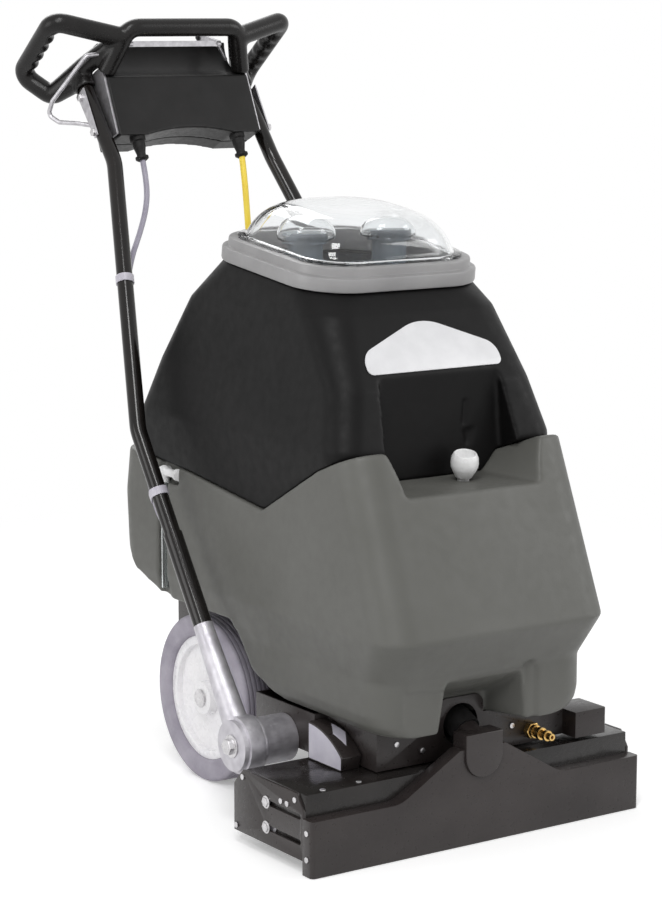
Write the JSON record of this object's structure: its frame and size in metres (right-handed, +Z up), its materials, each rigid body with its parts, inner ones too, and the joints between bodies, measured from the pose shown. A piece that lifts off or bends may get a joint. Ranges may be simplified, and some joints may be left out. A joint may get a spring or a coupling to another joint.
{
  "type": "carpet extractor",
  "caption": "Walk-behind carpet extractor with grey solution tank, black recovery tank under a clear dome, vacuum shoe, brush deck, large wheels and a tilting handle with control box.",
  "frame": {"origin": "On the floor, under the middle of the machine's box", "axes": "+X from the machine's left to its right along the vacuum shoe, +Y from the vacuum shoe at the front back to the operator's grips, +Z up from the floor"},
  "size_m": [0.52, 0.8949, 1.0303],
  "materials": {
    "powder_coat": "semi_gloss",
    "zinc_steel": "satin",
    "brass": "polished",
    "hose_black": "matte",
    "tyre_grey": "matte",
    "hub_white": "gloss",
    "cast_aluminium": "as_cast",
    "gloss_black": "gloss",
    "box_black": "satin",
    "bracket_steel": "satin",
    "lead_grey": "matte",
    "clip_grey": "matte",
    "lead_yellow": "matte",
    "tank_grey": "satin",
    "white_plastic": "gloss",
    "clear_hose": "clear",
    "tank_black": "satin",
    "badge_grey": "gloss",
    "ring_grey": "satin",
    "clear_dome": "clear",
    "pipe_grey": "satin",
    "motor_steel": "painted",
    "roller_black": "satin",
    "bristle": "matte"
  },
  "bodies": {
    "base": {"vacuum_shoe": "powder_coat", "shoe_outlet": "powder_coat", "vacuum_hose": "hose_black", "suction_hose": "hose_black", "brush_deck": "powder_coat", "left_side_plate": "powder_coat", "right_side_plate": "powder_coat", "shoe_bolts": "zinc_steel", "panel_screws": "zinc_steel", "chassis_frame": "powder_coat", "belt_guard": "powder_coat", "brass_coupler": "brass", "brush_motor": "motor_steel", "drive_belt": "hose_black", "brush_bearings": "cast_aluminium", "spray_bar": "pipe_grey", "vacuum_motor": "cast_aluminium", "solution_pump": "motor_steel", "axle_shaft": "zinc_steel", "left_pivot_barrel": "cast_aluminium", "right_pivot_barrel": "cast_aluminium", "pivot_bolts": "zinc_steel", "solution_tank": "tank_grey", "level_elbow": "white_plastic", "level_hose": "clear_hose"},
    "brush": {"brush_roller": "roller_black", "brush_bristles": "bristle", "brush_pulley": "cast_aluminium"},
    "pulley": {"motor_pulley": "cast_aluminium"},
    "left_wheel": {"left_tyre": "tyre_grey", "left_wheel_hub": "hub_white"},
    "right_wheel": {"right_tyre": "tyre_grey", "right_wheel_hub": "hub_white"},
    "handle": {"left_socket": "cast_aluminium", "right_socket": "cast_aluminium", "handle_sleeves": "gloss_black", "left_handle_tube": "gloss_black", "right_handle_tube": "gloss_black", "control_box_front": "box_black", "control_box_rear": "box_black", "handle_grip": "box_black", "box_brackets": "bracket_steel", "handle_bolts": "zinc_steel", "cord_hook": "bracket_steel", "strain_reliefs": "hose_black", "control_lead": "lead_grey", "lead_clips": "clip_grey", "power_lead": "lead_yellow", "power_plug": "lead_yellow"},
    "switch_left": {"vacuum_switch": "box_black"},
    "switch_right": {"pump_switch": "box_black"},
    "lever": {"spray_lever": "bracket_steel"},
    "stopper": {"tank_stopper": "white_plastic"},
    "recovery": {"recovery_tank": "tank_black", "badge_plate": "badge_grey", "inlet_standpipe": "pipe_grey", "suction_standpipe": "pipe_grey", "dome_frame": "ring_grey"},
    "dome": {"recovery_dome": "clear_dome"},
    "float": {"float_ball": "white_plastic"}
  },
  "joints": [
    {"name": "brush_spin", "type": "hinge", "parent": "base", "child": "brush", "pos_m": [0, -0.3014, 0.046], "axis": [1, 0, 0], "continuous": true},
    {"name": "motor_spin", "type": "hinge", "parent": "base", "child": "pulley", "pos_m": [-0.147, -0.2664, 0.128], "axis": [1, 0, 0], "continuous": true},
    {"name": "left_wheel_spin", "type": "hinge", "parent": "base", "child": "left_wheel", "pos_m": [-0.129, 0.0296, 0.1143], "axis": [1, 0, 0], "continuous": true},
    {"name": "right_wheel_spin", "type": "hinge", "parent": "base", "child": "right_wheel", "pos_m": [0.129, 0.0296, 0.1143], "axis": [1, 0, 0], "continuous": true},
    {"name": "handle_tilt", "type": "hinge", "parent": "base", "child": "handle", "pos_m": [0, -0.1804, 0.11], "axis": [1, 0, 0], "range_deg": [-22, 3]},
    {"name": "vacuum_switch_rock", "type": "hinge", "parent": "handle", "child": "switch_left", "pos_m": [-0.045, 0.3778, 0.9375], "axis": [1, 0, 0], "range_deg": [-10, 10]},
    {"name": "pump_switch_rock", "type": "hinge", "parent": "handle", "child": "switch_right", "pos_m": [0.045, 0.3778, 0.9375], "axis": [1, 0, 0], "range_deg": [-10, 10]},
    {"name": "lever_squeeze", "type": "hinge", "parent": "handle", "child": "lever", "pos_m": [0, 0.37696, 0.99606], "axis": [-1, 0, 0], "range_deg": [0, 10], "stiffness_Nm_per_rad": 2, "springref_deg": -4.01},
    {"name": "stopper_pull", "type": "slide", "parent": "base", "child": "stopper", "axis": [-0.1014, -0.2419, 0.965], "range_m": [0, 0.03]},
    {"name": "recovery_lift", "type": "slide", "parent": "base", "child": "recovery", "axis": [0, 0, 1], "range_m": [0, 0.09]},
    {"name": "dome_lift", "type": "slide", "parent": "recovery", "child": "dome", "axis": [0, -0.1219, 0.9925], "range_m": [0, 0.05]},
    {"name": "float_rise", "type": "slide", "parent": "recovery", "child": "float", "axis": [0, 0, 1], "range_m": [0, 0.039]}
  ],
  "couplings": [
    {"joint": "motor_spin", "follows": "brush_spin", "ratio": 2.625}
  ]
}
